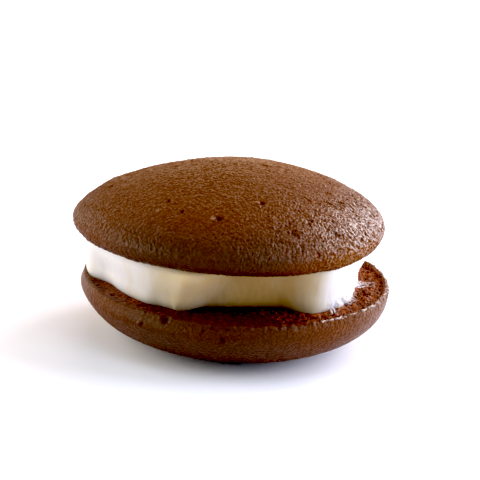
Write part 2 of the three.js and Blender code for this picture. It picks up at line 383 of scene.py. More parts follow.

# %% [markdown]
# ## Pits and flecks
# Gas bubbles burst at the surface and leave pits, each with a low raised rim, and here and there a fleck of
# crumb is stuck to the skin. The finish darkens each pit as painted shade. The ones in front have their known
# places: a direction, a share of the way out, a width and a depth. A negative depth makes a fleck. The
# flecks just left of the pits at -94.5 and -70.0 degrees are lighter where those pits' walls catch the light:
# painted highlights. The sides out of sight get a few more by chance, with a fixed seed.

# %% Pits of the top cake
PIT_RIM_HEIGHT = 0.2
PIT_RIM_DISTANCE = 1.7
PIT_RIM_WIDTH = 0.5
CHANCE_WIDTHS = (0.3, 0.6)
CHANCE_DEPTHS = (0.2, 0.6)
TOP_PITS = (
    (-94.5, 0.592, 0.75 * MM, 0.75 * MM),
    (-97.6, 0.599, 0.55 * MM, -0.30 * MM),
    (-114.3, 0.572, 0.50 * MM, 0.55 * MM),
    (-70.0, 0.474, 0.55 * MM, 0.60 * MM),
    (-72.5, 0.467, 0.48 * MM, -0.32 * MM),
    (-126.3, 0.513, 0.40 * MM, 0.40 * MM),
    (-127.9, 0.500, 0.35 * MM, 0.30 * MM),
    (-126.6, 0.599, 0.40 * MM, -0.15 * MM),
    (179.5, 0.625, 0.60 * MM, 0.40 * MM),
    (-79.4, 0.645, 0.40 * MM, -0.15 * MM),
    (-68.0, 0.592, 0.40 * MM, -0.15 * MM),
    (-31.6, 0.816, 0.45 * MM, 0.45 * MM),
    (-26.9, 0.803, 0.40 * MM, 0.40 * MM),
)


def chance_pits(seed, count, facings, shares):
    """Pits at chance places within a span of facings and a span of shares."""
    chance = np.random.default_rng(seed)
    return tuple(
        (
            chance.uniform(*facings),
            chance.uniform(*shares),
            chance.uniform(*CHANCE_WIDTHS) * MM,
            chance.uniform(*CHANCE_DEPTHS) * MM,
        )
        for _ in range(count)
    )


def pit_relief(points, form, profile, pits):
    """Relief of pits and flecks on a cake, and how sunk or raised they leave each point, -1 to 1."""
    facings, shares, widths, depths = np.array(pits).T
    places = form(*along(profile, shares), np.radians(facings))
    relief = np.zeros(len(points))
    hollow_shade_and_fleck = np.zeros(len(points))
    for place, width, depth in zip(places, widths, depths):
        away = np.linalg.norm(points - place, axis=1) / width
        hollow = np.exp(-(away ** 2))
        rim = np.exp(-((away - PIT_RIM_DISTANCE) / PIT_RIM_WIDTH) ** 2)
        relief -= depth * hollow
        relief += PIT_RIM_HEIGHT * max(depth, 0.0) * rim
        # Pits count below zero, to be darkened as painted shade; flecks count above zero.
        hollow_shade_and_fleck -= math.copysign(1.0, depth) * hollow
    return relief, np.clip(hollow_shade_and_fleck, -1.0, 1.0)


top_pits = TOP_PITS + chance_pits(seed=11, count=16, facings=(0, 170), shares=(0.15, 0.85))
pit_depth, top_shade_and_flecks = pit_relief(top_points, top_form, top_profile, top_pits)
slide(top_cake, top_relief + pit_depth)
print(len(top_pits), "pits and flecks on the top cake, the deepest", round(-pit_depth.min() / MM, 2), "mm")

# %% [markdown]
# ## The form of the bottom cake
# The bottom cake is the same kind of dome turned over, so it stands on its crown, which its weight has
# pressed flat. Its wall rises to a lip of skin round the torn face. The lip is thin and torn on the right.
# On the left the wall rounds over inward, and the lip is lower. One formula bends the plain turned form into
# all of this, so that the skin, the lip and the torn face fit together without a seam.

# %% Bottom cake
BOTTOM_RADIUS = 39.7 * MM
BOTTOM_HEIGHT = 16.9 * MM
BOTTOM_WIDEST_DROP = 1.6 * MM
BOTTOM_WALL_FULLNESS = 0.58
BOTTOM_BASE_FULLNESS = 0.7
BOTTOM_PRESSED = 0.9 * MM
BOTTOM_SPREAD_LEFT = 0.4 * MM
BOTTOM_TUCK = 1.6 * MM
BOTTOM_TUCK_POWER = 3
BOTTOM_TUCK_FACING = math.radians(-160)
BOTTOM_TURN = 2.4
BOTTOM_CENTRE = Vector((1.05 * MM, -0.8 * MM, 0.0))
LIP_WIDTH = 0.8 * MM
LIP_SLOPE = 1.0 * MM
LIP_HEIGHT = 0.7 * MM
LIP_SINK = 0.5
LIP_SOFT_FACING = math.radians(-150)
LIP_SOFT_END = 0.7
LIP_FADE = 8.0 * MM
SHOULDER_ROUND = 1.4 * MM
SHOULDER_START = 12.3 * MM
SHOULDER_RISE = 3.0 * MM

bottom_widest = BOTTOM_HEIGHT - BOTTOM_WIDEST_DROP
bottom_crest = BOTTOM_RADIUS - LIP_WIDTH
lip_reach = LIP_WIDTH + LIP_SLOPE
face_edge = bottom_crest - LIP_SLOPE
face_height = BOTTOM_HEIGHT - LIP_HEIGHT
bottom_under = bezier(
    (0.0, 0.0),
    (BOTTOM_RADIUS * BOTTOM_BASE_FULLNESS, 0.0),
    (BOTTOM_RADIUS, bottom_widest * (1 - BOTTOM_WALL_FULLNESS)),
    (BOTTOM_RADIUS, bottom_widest),
)
bottom_shoulder = arc((bottom_crest, bottom_widest), LIP_WIDTH, BOTTOM_WIDEST_DROP, 0, 90)
bottom_profile = np.concatenate([bottom_under, bottom_shoulder[1:]])


def lip_softness(angle):
    """0 where the lip is thin and torn, 1 where it is low and soft."""
    return smooth_step(np.cos(angle - LIP_SOFT_FACING), 0.0, LIP_SOFT_END)


def bottom_form(radius, height, angle):
    """Places on the bottom cake for a radius, height and angle on its plain round form."""
    inward = BOTTOM_RADIUS - radius
    fade = np.clip(1 - (inward - lip_reach) / LIP_FADE, 0.0, 1.0)
    raised = np.clip((height - SHOULDER_START) / SHOULDER_RISE, 0.0, 1.0)
    rounded = SHOULDER_ROUND * lip_softness(angle) * raised ** 2 * fade
    waist = np.sin(np.pi * np.minimum(height / bottom_widest, 1.0))
    tuck = BOTTOM_TUCK * np.maximum(np.cos(angle - BOTTOM_TUCK_FACING), 0.0) ** BOTTOM_TUCK_POWER * waist
    spread = edge_wave(angle, BOTTOM_TURN) - BOTTOM_SPREAD_LEFT * np.cos(angle)
    reach = radius + (spread - tuck) * (radius / BOTTOM_RADIUS) ** 2 - rounded
    sunk = LIP_SINK * lip_softness(angle) * np.maximum(height - face_height, 0.0)
    level = np.maximum(height - sunk - BOTTOM_PRESSED, 0.0)
    return np.stack([reach * np.cos(angle), reach * np.sin(angle), level], axis=-1) + np.array(BOTTOM_CENTRE)


foot_width = 2 * np.interp(BOTTOM_PRESSED, *bottom_under.T[::-1])
print("the foot is pressed flat over", round(foot_width / MM, 1), "mm")

# %% [markdown]
# ## The mesh of the bottom cake
# The grid runs from the middle of the foot up the wall to the lip. The rings of the lip follow an S from its
# crest down to the torn face, so the lip has no hard edge. The rings of the face stay level and lie close
# together out to where the cream covers it. The faces are listed backwards, because this dome looks down.

# %% Bottom cake mesh
BOTTOM_CELLS = 228
LIP_RINGS = 5
FACE_RINGS = 45
FACE_INNER = 21.0 * MM

lip_steps = np.arange(1, LIP_RINGS + 1) / LIP_RINGS
face_steps = np.arange(1, FACE_RINGS + 1) / FACE_RINGS
inward_radius = np.concatenate([
    bottom_crest - LIP_SLOPE * lip_steps,
    face_edge + (FACE_INNER - face_edge) * face_steps,
])
inward_height = np.concatenate([
    BOTTOM_HEIGHT - LIP_HEIGHT * smooth_step(lip_steps, 0.0, 1.0),
    np.full(FACE_RINGS, face_height),
])

bottom_share, bottom_angle = disc_grid(BOTTOM_CELLS)
bottom_squares, bottom_rim = grid_faces(BOTTOM_CELLS)
rim_count = len(bottom_rim)
inward_angle = np.tile(bottom_angle[bottom_rim], len(inward_radius))
bottom_points = np.concatenate([
    bottom_form(*along(bottom_profile, bottom_share), bottom_angle),
    bottom_form(np.repeat(inward_radius, rim_count), np.repeat(inward_height, rim_count), inward_angle),
    bottom_form(np.zeros(1), np.full(1, face_height), np.zeros(1)),
])
bottom_faces = [bottom_squares, *ring_faces(bottom_rim, len(bottom_share), len(inward_radius))]
bottom_cake = mesh_piece("bottom_cake_skin", bottom_points, *[group[:, ::-1] for group in bottom_faces])
report(bottom_cake)

# %% [markdown]
# ## The cream's outline
# The cream was piped as one thick blob and squeezed outward when the top cake was pressed on. It reached
# further in some directions than in others, so its foot is a round with lobes: each has a direction, half a
# width in degrees and a reach. At the front left the foot has a shallow nick with a small tip beside it, and
# both fade out upward. The crown overhangs the foot all round, except at the front left, where the wall is
# nearly upright.

# %% Round of the cream
CREAM_BASE_RADIUS = 33.2 * MM
CREAM_CROWN_RADIUS = 36.4 * MM
CREAM_CROWN_SHIFT = Vector((-2.7 * MM, 1.0 * MM))
CREAM_LEAN_START = 0.3
CREAM_LEAN_END = 0.95
CREAM_LOBES = (
    (180, 13, 4.6 * MM),
    (-42, 12, -0.5 * MM),
    (-7, 16, -2.2 * MM),
    (110, 45, 0.8 * MM),
)
FOOT_NICKS = ((-119, 7, -1.1 * MM), (-113.5, 3, 0.5 * MM))
NICK_END = 0.8
CROWN_LOBES = ((-138, 24, -3.4 * MM),)


def lobe_reach(lobes, angle):
    """How much further than the plain round a set of lobes reaches."""
    reach = np.zeros_like(angle)
    for facing, half_width, far in lobes:
        away = away_from(angle, math.radians(facing)) / math.radians(half_width)
        reach += far * np.exp(-(away ** 4) / 2)
    return reach


def cream_round(angle, level):
    """Reach of the cream from the bottom cake's axis before the flat front, for level 0 at its foot to 1."""
    nicks = lobe_reach(FOOT_NICKS, angle) * (1 - smooth_step(level, 0.0, NICK_END))
    foot = CREAM_BASE_RADIUS + lobe_reach(CREAM_LOBES, angle) + nicks
    shift = CREAM_CROWN_SHIFT.x * np.cos(angle) + CREAM_CROWN_SHIFT.y * np.sin(angle)
    crown = CREAM_CROWN_RADIUS + shift + lobe_reach(CROWN_LOBES, angle)
    return foot + (crown - foot) * smooth_step(level, CREAM_LEAN_START, CREAM_LEAN_END)


left_reach = cream_round(np.radians([180.0]), 0.0)
print("the cream's foot spreads to", (left_reach / MM).round(1).tolist(), "mm on the left")

# %% [markdown]
# ## The flat front
# Little cream came out at the front, and the wall there is nearly flat, as if cut straight across, with a
# fold on each side. Five numbers describe the flat at the foot and again at the crown: how far it is from
# the axis, then where its left fold is, in degrees from the way the flat faces, and how many degrees wide
# that fold is, and the same for its right fold. The folds are sharp at the foot and slant to the right
# towards the crown. They soften soon above the foot, so their widths grow with a root of the level. Where
# the flat would lie outside the round, a soft minimum keeps the round.

# %% Flat front of the cream
FRONT_FACING = -82.0
FRONT_FOOT = (24.5 * MM, -29.5, 5.0, 25.5, 7.0)
FRONT_CROWN = (28.0 * MM, -16.0, 25.0, 32.0, 34.0)
FRONT_SOFTNESS = 1.2 * MM
FOLD_SOFTENING = 0.35
FRONT_DEEPEST = 8.0 * MM
LEAST_COSINE = 0.05


def front_cut(angle, level):
    """How far the flat front cuts into the round."""
    softer = level ** FOLD_SOFTENING
    rises = (level, level, softer, level, softer)
    numbers = (foot + (crown - foot) * rise for foot, crown, rise in zip(FRONT_FOOT, FRONT_CROWN, rises))
    distance, left, left_width, right, right_width = numbers
    turned = (np.degrees(angle) - FRONT_FACING + 180) % 360 - 180
    flat = distance / np.maximum(np.cos(np.radians(turned)), LEAST_COSINE)
    cut = FRONT_SOFTNESS * np.logaddexp(0.0, (cream_round(angle, level) - flat) / FRONT_SOFTNESS)
    past_left = smooth_step(turned, left - left_width / 2, left + left_width / 2)
    return cut * past_left * (1 - smooth_step(turned, right - right_width / 2, right + right_width / 2))


def front_share(angle, level):
    """1 in the middle of the flat front and 0 beside it."""
    return np.clip(front_cut(angle, level) / FRONT_DEEPEST, 0.0, 1.0)


def cream_reach(angle, level):
    """Reach of the cream's wall from the bottom cake's axis, from level 0 at its foot to 1 at its crown."""
    return cream_round(angle, level) - front_cut(angle, level)


for side, side_facing in (("left", 180.0), ("front", -84.0), ("right", 0.0)):
    side_reach = cream_reach(np.radians([side_facing]), 0.0)
    print("cream foot at the", side, "reaches", (side_reach / MM).round(1).tolist(), "mm")

# %% [markdown]
# ## Torn crumb on the bottom cake
# Where the cake stuck to its baking sheet the skin is gone, and the open crumb shows: clumps a millimetre or
# two wide with gaps between them. Two sizes of pebbles make the clumps, and soft noise sinks the gaps. The
# tear is coarse on the right and shallower in front and on the left. The relief fades out under the cream,
# so that the cream has a level bed.

# %% Relief of the crumb
CLUMP_HEIGHT = 0.42 * MM
CLUMP_WIDTH = 1.5 * MM
CRUMB_GRAIN_HEIGHT = 0.34 * MM
CRUMB_GRAIN_WIDTH = 0.85 * MM
GAP_DEPTH = 0.6 * MM
GAP_WIDTH = 1.5 * MM
GAP_EDGE = (0.1, 0.4)
CRUMB_MARGIN = 0.8 * MM
COARSE_FACING = math.radians(5)
COARSE_EDGE = (0.15, 0.65)
FINE_SHARE = 0.35
LEVEL_TOLERANCE = 0.1 * MM


def coarseness(angle):
    """1 where the torn face is coarse, on the right, and less elsewhere."""
    return FINE_SHARE + (1 - FINE_SHARE) * smooth_step(np.cos(angle - COARSE_FACING), *COARSE_EDGE)


bottom_offset = bottom_points - np.array(BOTTOM_CENTRE)
bottom_reach = np.hypot(bottom_offset[:, 0], bottom_offset[:, 1])
bottom_facing = np.arctan2(bottom_offset[:, 1], bottom_offset[:, 0])
bottom_level = bottom_points[:, 2]
on_rings = np.arange(len(bottom_points)) >= len(bottom_share)
on_face = on_rings & (np.abs(bottom_level - (face_height - BOTTOM_PRESSED)) < LEVEL_TOLERANCE)

face_points = bottom_points[on_face]
past_cream = bottom_reach[on_face] - cream_reach(bottom_facing[on_face], 0.0)
clear = smooth_step(past_cream, -CRUMB_MARGIN, CRUMB_MARGIN)
clumps = CLUMP_HEIGHT * pebbles(face_points, CLUMP_WIDTH, seed=21.0)
clumps += CRUMB_GRAIN_HEIGHT * pebbles(face_points, CRUMB_GRAIN_WIDTH, seed=33.0)
gaps = GAP_DEPTH * smooth_step(bumps(face_points, GAP_WIDTH, seed=41.0, octaves=2), *GAP_EDGE)
bottom_relief = np.zeros(len(bottom_points))
bottom_relief[on_face] = clear * coarseness(bottom_facing[on_face]) * (clumps - gaps)
print("crumb relief from", round(bottom_relief.min() / MM, 2), "to", round(bottom_relief.max() / MM, 2), "mm")

# %% [markdown]
# ## Wall, lip and pits of the bottom cake
# The wall has the same skin as the top, only calmer, since it baked against paper. The thin lip on the right
# is ragged, with notches and small peaks. The foot, where the pie stands, stays flat.

# %% Relief of the wall
WALL_SEED = 7.7
WALL_CALM = 0.4
WALL_WRINKLED = 0.3
LIP_RAGGED = 0.42 * MM
LIP_NOTCH_WIDTH = 1.5 * MM
SOFT_LIP_CALM = 0.8
FOOT_RISE = 1.0 * MM
BOTTOM_PITS = (
    (-114.3, 0.974, 0.85 * MM, 0.80 * MM),
    (-123.6, 0.922, 0.50 * MM, 0.40 * MM),
    (-125.0, 0.925, 0.35 * MM, -0.15 * MM),
    (-93.0, 0.914, 0.50 * MM, 0.55 * MM),
    (-99.8, 0.948, 0.35 * MM, 0.30 * MM),
    (-96.8, 0.966, 0.30 * MM, 0.30 * MM),
    (-91.6, 0.966, 0.35 * MM, 0.30 * MM),
)

on_wall = slice(0, len(bottom_share))
wall_grain = skin_grain(bottom_points[on_wall], bottom_share, bottom_angle, WALL_SEED, WALL_WRINKLED)
bottom_relief[on_wall] += WALL_CALM * wall_grain
high_up = bottom_level > bottom_widest - BOTTOM_PRESSED
near_crest = high_up * np.exp(-((bottom_reach - bottom_crest) / LIP_SLOPE) ** 2)
notched = LIP_RAGGED * near_crest * (1 - SOFT_LIP_CALM * lip_softness(bottom_facing))
bottom_relief += notched * bumps(bottom_points, LIP_NOTCH_WIDTH, seed=12.0, octaves=3)

bottom_pits = BOTTOM_PITS + chance_pits(seed=23, count=12, facings=(-10, 200), shares=(0.6, 0.95))
# The finish darkens these pits as painted shade and lightens the flecks.
pit_depth, bottom_shade_and_flecks = pit_relief(bottom_points, bottom_form, bottom_profile, bottom_pits)
bottom_relief += pit_depth
bottom_relief *= smooth_step(bottom_level, 0.0, FOOT_RISE)
slide(bottom_cake, bottom_relief)
print(len(bottom_pits), "pits and flecks on the bottom cake, lip ragged by", round(LIP_RAGGED / MM, 2), "mm")

# %% [markdown]
# ## The cream
# The cream is a wall of rows from foot to crown, closed above and below. It leans outward where the top cake
# squeezed it, its edges are rounded, and at the flat front its foot curls under a little and leaves a thin
# dark line. It sinks a little into both cakes, as soft cream does, so that no slit of light shows between
# them.

# %% Cream wall
CREAM_FOOT_LEVEL = 15.6 * MM
CREAM_HEIGHT = 10.5 * MM
CREAM_SINK = 0.6 * MM
CREAM_ROUNDING = 1.0 * MM
CREAM_ROUNDING_POWER = 6
FRONT_CURL = 0.2 * MM
CREAM_STEPS = 720
CREAM_ROWS = 80
CREAM_CAP_RINGS = 3

cream_level, cream_angle = np.meshgrid(
    np.linspace(0.0, 1.0, CREAM_ROWS + 1), np.arange(CREAM_STEPS) * 2 * np.pi / CREAM_STEPS, indexing="ij"
)


def cream_form(share, level, angle):
    """Places on the cream: share of the way out from its axis, level from foot to crown, and angle."""
    curl = np.where(level < 0.5, FRONT_CURL * front_share(angle, level), 0.0)
    rounding = (CREAM_ROUNDING + curl) * np.abs(2 * level - 1) ** CREAM_ROUNDING_POWER
    reach = share * (cream_reach(angle, level) - rounding)
    x = reach * np.cos(angle)
    ceiling = CREAM_HEIGHT - math.tan(TOP_TILT) * (x + BOTTOM_CENTRE.x - TOP_CENTRE.x) + 2 * CREAM_SINK
    height = CREAM_FOOT_LEVEL - CREAM_SINK + level * ceiling
    return np.stack([x, reach * np.sin(angle), height], axis=-1).reshape(-1, 3) + np.array(BOTTOM_CENTRE)


def tube_faces(loops):
    """Squares between loops of points that follow one another along a tube."""
    pairs = zip(loops, loops[1:])
    return np.concatenate([np.stack([a, np.roll(a, -1), np.roll(b, -1), b], axis=-1) for a, b in pairs])


cap_share = np.repeat(1 - np.arange(1, CREAM_CAP_RINGS + 1) / (CREAM_CAP_RINGS + 1), CREAM_STEPS)
cap_angle = np.tile(cream_angle[0], CREAM_CAP_RINGS)
cream_wall = cream_form(1.0, cream_level, cream_angle)
cream_points = np.concatenate([
    cream_wall,
    cream_form(cap_share, np.zeros_like(cap_share), cap_angle),
    cream_form(np.zeros(1), np.zeros(1), np.zeros(1)),
    cream_form(cap_share, np.ones_like(cap_share), cap_angle),
    cream_form(np.zeros(1), np.ones(1), np.zeros(1)),
])
rows = np.arange(len(cream_wall)).reshape(CREAM_ROWS + 1, CREAM_STEPS)
cap_count = CREAM_CAP_RINGS * CREAM_STEPS + 1
foot_faces = ring_faces(rows[0], len(cream_wall), CREAM_CAP_RINGS)
crown_faces = [
    group[:, ::-1] for group in ring_faces(rows[-1], len(cream_wall) + cap_count, CREAM_CAP_RINGS)
]
cream = mesh_piece("cream_layer", cream_points, tube_faces(rows), *foot_faces, *crown_faces)
report(cream)

# %% [markdown]
# ## Streaks and a ragged foot
# As the cream spread, it left soft upright streaks, and lumps a few millimetres wide. Noise squeezed along Z
# makes the streaks long. On the right the foot stuck to the coarse crumb and tore, so there a finer noise
# frays it. The fraying fades out a little way up the wall, and past a span of facings on either side.

# %% Relief of the cream
STREAK_DEPTH = 0.05 * MM
STREAK_WIDTH = 1.3 * MM
STREAK_SQUEEZE = (1.0, 1.0, 0.3)
LUMP_HEIGHT = 0.14 * MM
LUMP_WIDTH = 5.5 * MM
FRAY_DEPTH = 0.6 * MM
FRAY_WIDTH = 1.0 * MM
FRAY_LEVELS = (0.08, 0.3)
FRAY_BEGIN = (-48, -38)
FRAY_END = (14, 24)

streaks = STREAK_DEPTH * bumps(cream_points * np.array(STREAK_SQUEEZE), STREAK_WIDTH, seed=51.0, octaves=2)
lumps = LUMP_HEIGHT * bumps(cream_points, LUMP_WIDTH, seed=57.0)
on_cream_wall = slice(0, len(cream_wall))
cream_facing = np.degrees(cream_angle) - 360 * (cream_angle > np.pi)
at_foot = (1 - smooth_step(cream_level, *FRAY_LEVELS)) * smooth_step(cream_facing, *FRAY_BEGIN)
at_foot *= 1 - smooth_step(cream_facing, *FRAY_END)
frayed = np.zeros(len(cream_points))
frayed[on_cream_wall] = FRAY_DEPTH * at_foot.ravel() * bumps(cream_wall, FRAY_WIDTH, seed=63.0, octaves=2)
slide(cream, streaks + lumps + frayed)
print("streaks and lumps up to", round(float(np.abs(streaks + lumps).max()) / MM, 2), "mm")

# %% [markdown]
# ## Where the cream was smeared
# Where the cream touched the crumb on the right it was dragged out into thin feathered smears. One solid
# tongue of cream would look like a fang, so each smear is a fan of strands. They start inside the cream
# along a stretch of its foot, lean towards one tip and end at uneven distances. Each smear has the first and
# last direction of its stretch, the direction of its tip, its longest reach and its number of strands.

# %% Paths of the strands
SMEARS = (
    (-5.0, 7.0, 2.6, 5.4 * MM, 14),
    (-31.0, -17.0, -19.0, 1.7 * MM, 10),
    (-42.0, -39.5, -45.0, 2.3 * MM, 2),
)
STRAND_START = -1.2 * MM
STRAND_LEAN = 0.7
STRAND_SHORTEST = 0.5
STRAND_STEPS = 30

smear_dice = np.random.default_rng(17)


def strand_path(facing, tip_facing, distance):
    """Points on the torn face from the foot of the cream to the end of one strand."""
    steps = np.linspace(0.0, 1.0, STRAND_STEPS)
    angle = np.radians(facing + STRAND_LEAN * (tip_facing - facing) * steps)
    reach = cream_reach(angle, 0.0) + STRAND_START + (distance - STRAND_START) * steps
    return np.stack([reach * np.cos(angle), reach * np.sin(angle)], axis=-1) + np.array(BOTTOM_CENTRE.xy)


strand_paths = [
    strand_path(facing, tip_facing, distance * smear_dice.uniform(STRAND_SHORTEST, 1.0))
    for first, last, tip_facing, distance, strands in SMEARS
    for facing in np.linspace(first, last, strands)
]
print(len(strand_paths), "strands of cream in", len(SMEARS), "smears")

# %% [markdown]
# ## Strands of cream
# A strand is a flat tube that tapers along its path, with uneven sides. It lies on the finished crumb: the
# height of the crumb is read under each step and evened out over a few steps, so that the strand bridges the
# small gaps and the highest crumbs poke through it.

# %% Smears
STRAND_SIDES = 10
STRAND_HALF_WIDTH = 0.28 * MM
STRAND_FLATNESS = 0.35
STRAND_LIFT = 0.12 * MM
STRAND_SETTLING = 7
STRAND_UNEVEN = 0.5
STRAND_UNEVEN_WIDTH = 0.7 * MM
STRAND_TAPER_END = 1.02
STRAND_TAPER_POWER = 0.5

upper_side = points_of(bottom_cake)[len(bottom_share):]


def height_at(x, y):
    """Height of the finished bottom cake's upper side at a place seen from above."""
    return upper_side[np.argmin(np.hypot(upper_side[:, 0] - x, upper_side[:, 1] - y)), 2]


def strand_rings(path):
    """Rings of points of one flat strand, tapering along its path over the crumb."""
    ahead = np.gradient(path, axis=0)
    ahead /= np.linalg.norm(ahead, axis=1)[:, None]
    bed = np.array([height_at(*place) for place in path])
    padded = np.pad(bed, STRAND_SETTLING // 2, mode="edge")
    settled = np.convolve(padded, np.full(STRAND_SETTLING, 1 / STRAND_SETTLING), mode="valid")
    uneven = 1 + STRAND_UNEVEN * bumps(np.c_[path, np.zeros(len(path))], STRAND_UNEVEN_WIDTH, seed=71.0)
    taper = (STRAND_TAPER_END - np.linspace(0.0, 1.0, len(path))) ** STRAND_TAPER_POWER
    width = STRAND_HALF_WIDTH * uneven * taper
    round_it = np.linspace(0.0, 2 * np.pi, STRAND_SIDES, endpoint=False)
    sideways = np.stack([-ahead[:, 1], ahead[:, 0]], axis=-1)[:, None]
    across = path[:, None] + sideways * (width[:, None] * np.cos(round_it))[..., None]
    up = settled[:, None] + STRAND_LIFT + STRAND_FLATNESS * width[:, None] * np.sin(round_it)
    return np.concatenate([across, up[..., None]], axis=-1).reshape(-1, 3)


rings = np.arange(STRAND_STEPS * STRAND_SIDES).reshape(STRAND_STEPS, STRAND_SIDES)
ends = np.stack([rings[0, ::-1], rings[-1]])
starts = np.arange(len(strand_paths)) * rings.size
smears = mesh_piece(
    "cream_smears",
    np.concatenate([strand_rings(path) for path in strand_paths]),
    np.concatenate([tube_faces(rings) + start for start in starts]),
    np.concatenate([ends + start for start in starts]),
)
report(smears)

# %% [markdown]
# ## Loose crumbs
# Tearing leaves loose crumbs on the coarse side. A crumb could be a plain ball, but no crumb is round, so
# noise dents each ball, and its length, width and height differ. The dice have a fixed seed, and each bit
# stands at the nearest point of the finished mesh, sunk part of the way into it.

# %% Crumbs
BIT_TURN = 0.35
BIT_UNEVEN = 0.35
BIT_DENTS = 1.7
BIT_VARIETY = 7
CRUMB_COUNT = 150
CRUMB_FACINGS = (-76, 50)
CRUMB_CLEARANCE = 0.3 * MM
CRUMB_RADII = (0.18, 0.42)
CRUMB_STRETCH = (0.6, 1.3)
CRUMB_STANDS = 0.3

dice = np.random.default_rng(5)


def scatter_bits(name, places, sizes, stands):
    """A mesh of uneven balls at (facing, reach), each with its length, width and height."""
    bits = bmesh.new()
    for (facing, reach), size in zip(places, sizes):
        x = reach * math.cos(facing) + BOTTOM_CENTRE.x
        y = reach * math.sin(facing) + BOTTOM_CENTRE.y
        stand = Matrix.Translation((x, y, height_at(x, y) + stands * size[2]))
        turn = Matrix.Rotation(facing + math.pi / 2 + dice.normal(0.0, BIT_TURN), 4, "Z")
        made = bmesh.ops.create_icosphere(bits, subdivisions=2, radius=1.0)["verts"]
        start = Vector((BIT_VARIETY * x / MM, BIT_VARIETY * y / MM, 0.0))
        for vert in made:
            vert.co *= 1 + BIT_UNEVEN * noise.noise(BIT_DENTS * vert.co + start)
        bmesh.ops.transform(bits, matrix=stand @ turn @ Matrix.Diagonal((*size, 1.0)), verts=made)
    mesh = bpy.data.meshes.new(name)
    bits.to_mesh(mesh)
    bits.free()
    piece = in_scene(name, mesh)
    report(piece)
    return piece


crumb_facing = np.radians(dice.uniform(*CRUMB_FACINGS, CRUMB_COUNT))
crumb_inner = cream_reach(crumb_facing, 0.0) + CRUMB_CLEARANCE
crumb_reach = crumb_inner + (face_edge - crumb_inner) * dice.uniform(0.0, 1.0, CRUMB_COUNT)
crumb_radius = dice.uniform(*CRUMB_RADII, CRUMB_COUNT)[:, None] * MM
crumb_sizes = crumb_radius * dice.uniform(*CRUMB_STRETCH, (CRUMB_COUNT, 3))
loose_crumbs = scatter_bits("loose_crumbs", zip(crumb_facing, crumb_reach), crumb_sizes, CRUMB_STANDS)

# %% [markdown]
# ## Flakes on the lip
# Along the torn lip small flakes of dried skin stand up and catch the light. They are the same uneven balls,
# drawn out long and thin, and they lie along the lip. They come in groups, each with its first and last
# direction and its number of flakes.

# %% Flakes
FLAKE_SPANS = ((-57, -51, 9), (-50, -40, 18), (-36, -27, 14), (-18, -5, 16))
FLAKE_INWARD = 0.15 * MM
FLAKE_SCATTER = 0.18
FLAKE_LEAST = (0.35, 0.12, 0.1)
FLAKE_MOST = (0.85, 0.24, 0.2)
FLAKE_STANDS = 0.2

flake_facing = np.radians(np.concatenate([dice.uniform(*span) for span in FLAKE_SPANS]))
flake_count = len(flake_facing)
flake_reach = bottom_crest - FLAKE_INWARD + dice.normal(0.0, FLAKE_SCATTER, flake_count) * MM
flake_sizes = dice.uniform(FLAKE_LEAST, FLAKE_MOST, (flake_count, 3)) * MM
lip_flakes = scatter_bits("lip_flakes", zip(flake_facing, flake_reach), flake_sizes, FLAKE_STANDS)

# %% [markdown]
# ## Numbers that ride on the mesh: painted front shade
# A material can read a number stored with each point, which is simpler than painting a picture for it. The
# first number is painted shade and painted bounce light. The cakes are darkened in front, on the side that
# faces the dim room, low on the dome and all the way up the wall. To the right of that, a stretch of the rim
# is painted paler, as light thrown back onto it. Where the bottom cake's lip is low and soft, the lip and the
# torn face get some painted shade too.

# %% Painted front shade
PAINTED_SHADE_FACING = math.radians(-98)
PAINTED_SHADE_SPREAD = math.radians(39)
PAINTED_SHADE_SHARES = (0.54, 0.86)
PAINTED_BOUNCE = 0.5
PAINTED_BOUNCE_FACING = math.radians(-42)
PAINTED_BOUNCE_SPREAD = math.radians(24)
PAINTED_BOUNCE_SHARES = (0.78, 0.9)
WALL_PAINTED_SHADE = 0.88
SOFT_LIP_PAINTED_SHADE = 0.3


def store(piece, name, values):
    """Keep one number per point with the mesh, for its material to read."""
    layer = piece.data.attributes.new(name, "FLOAT", "POINT")
    layer.data.foreach_set("value", values.astype(np.float32))
    least, most = round(float(values.min()), 2), round(float(values.max()), 2)
    print(piece.name, "keeps", name, "from", least, "to", most)


# Painted shade in front, where the cakes face the dim room, and painted bounce light on the rim to the right
# of it.
top_painted_shade_and_bounce = np.zeros(len(top_points))
top_painted_shade_and_bounce[on_dome] = towards(top_angle, PAINTED_SHADE_FACING, PAINTED_SHADE_SPREAD) * smooth_step(top_share, *PAINTED_SHADE_SHARES)
painted_bounce = PAINTED_BOUNCE * towards(top_angle, PAINTED_BOUNCE_FACING, PAINTED_BOUNCE_SPREAD)
top_painted_shade_and_bounce[on_dome] -= painted_bounce * smooth_step(top_share, *PAINTED_BOUNCE_SHARES)
store(top_cake, "painted_shade_and_bounce", top_painted_shade_and_bounce)
bottom_painted_shade = WALL_PAINTED_SHADE * towards(bottom_facing, PAINTED_SHADE_FACING, PAINTED_SHADE_SPREAD)
lip_painted_shade = np.maximum(bottom_painted_shade, SOFT_LIP_PAINTED_SHADE * lip_softness(bottom_facing))
bottom_painted_shade[on_rings] = lip_painted_shade[on_rings]
store(bottom_cake, "painted_shade_and_bounce", bottom_painted_shade)

# %% [markdown]
# ## Sheen
# The second number says how much the skin glints. It glints most on the dried right flank. Towards the rim
# the glints fade, more so away from the right end, and along the front the curl of the rim is calmer still.
# Where the front shade is painted darkest the skin is duller. The wall of the bottom cake has a weak sheen at
# its right end.

